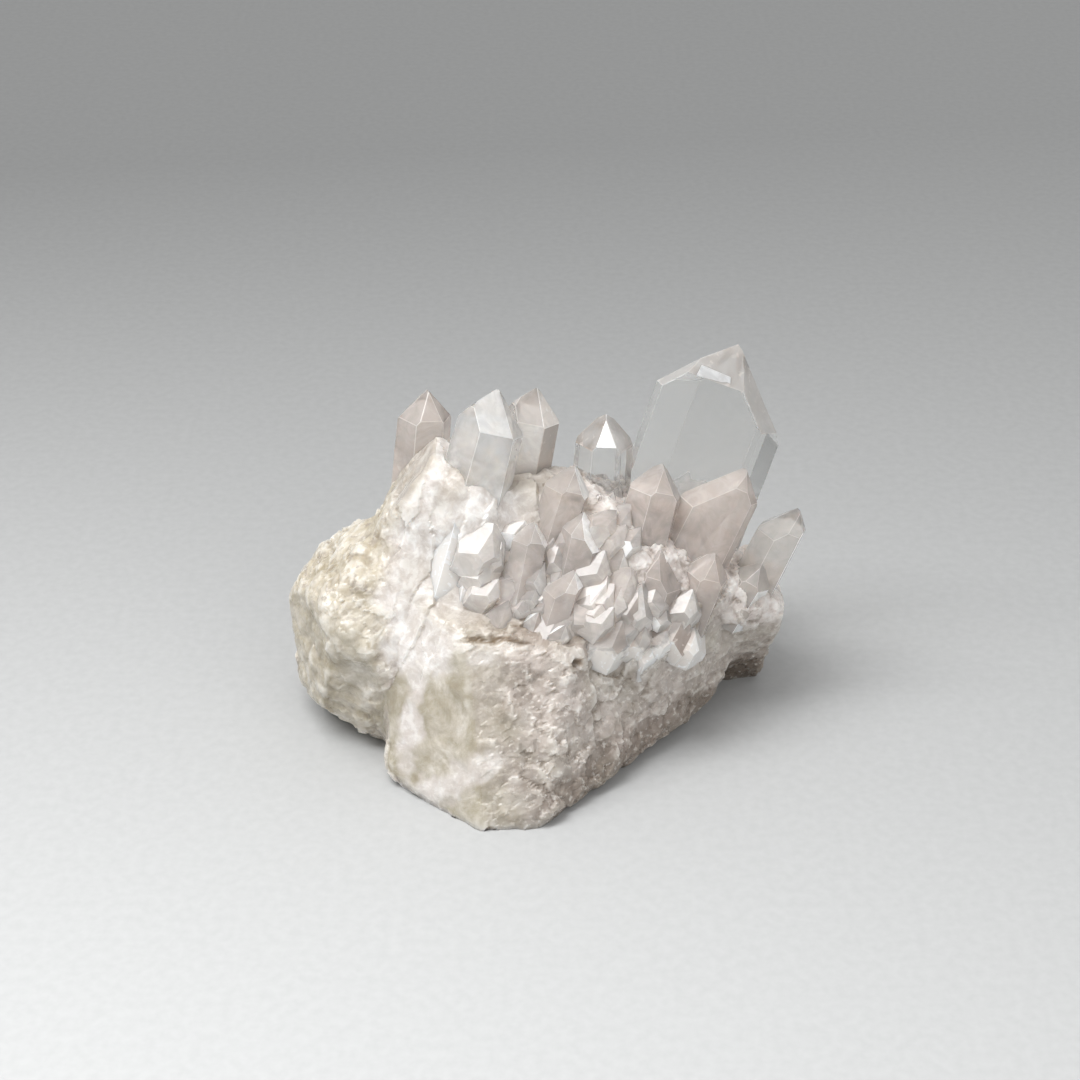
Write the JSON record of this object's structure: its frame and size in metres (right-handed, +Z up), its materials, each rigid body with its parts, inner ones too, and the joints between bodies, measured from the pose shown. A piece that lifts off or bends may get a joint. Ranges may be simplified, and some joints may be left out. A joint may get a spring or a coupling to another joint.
{
  "type": "quartz crystal cluster",
  "caption": "Palm-sized mineral specimen: clear and milky six-sided quartz crystals with pointed tips, grown on a broken, granular base of massive quartz that it stands on.",
  "frame": {"origin": "middle of the cluster's bounding box, on the plane that it stands on", "axes": "+X to the right and +Y to the back as seen in the picture, +Z up"},
  "size_m": [0.077, 0.0554, 0.0535],
  "materials": {
    "massive_quartz": "rough broken quartz with glassy patches",
    "clear_quartz": "clear, glossy natural faces",
    "milky_quartz": "cloudy white, glossy natural faces"
  },
  "bodies": {
    "root": {"matrix": "massive_quartz", "tall_crystal": "clear_quartz", "milky_crystals": "milky_quartz", "left_crystal": "clear_quartz", "blunt_crystal": "clear_quartz", "sharp_crystal": "clear_quartz", "centre_crystals": "milky_quartz", "front_crystals": "clear_quartz", "right_crystals": "clear_quartz", "back_left_crystals": "clear_quartz", "back_right_crystals": "clear_quartz"}
  },
  "joints": []
}
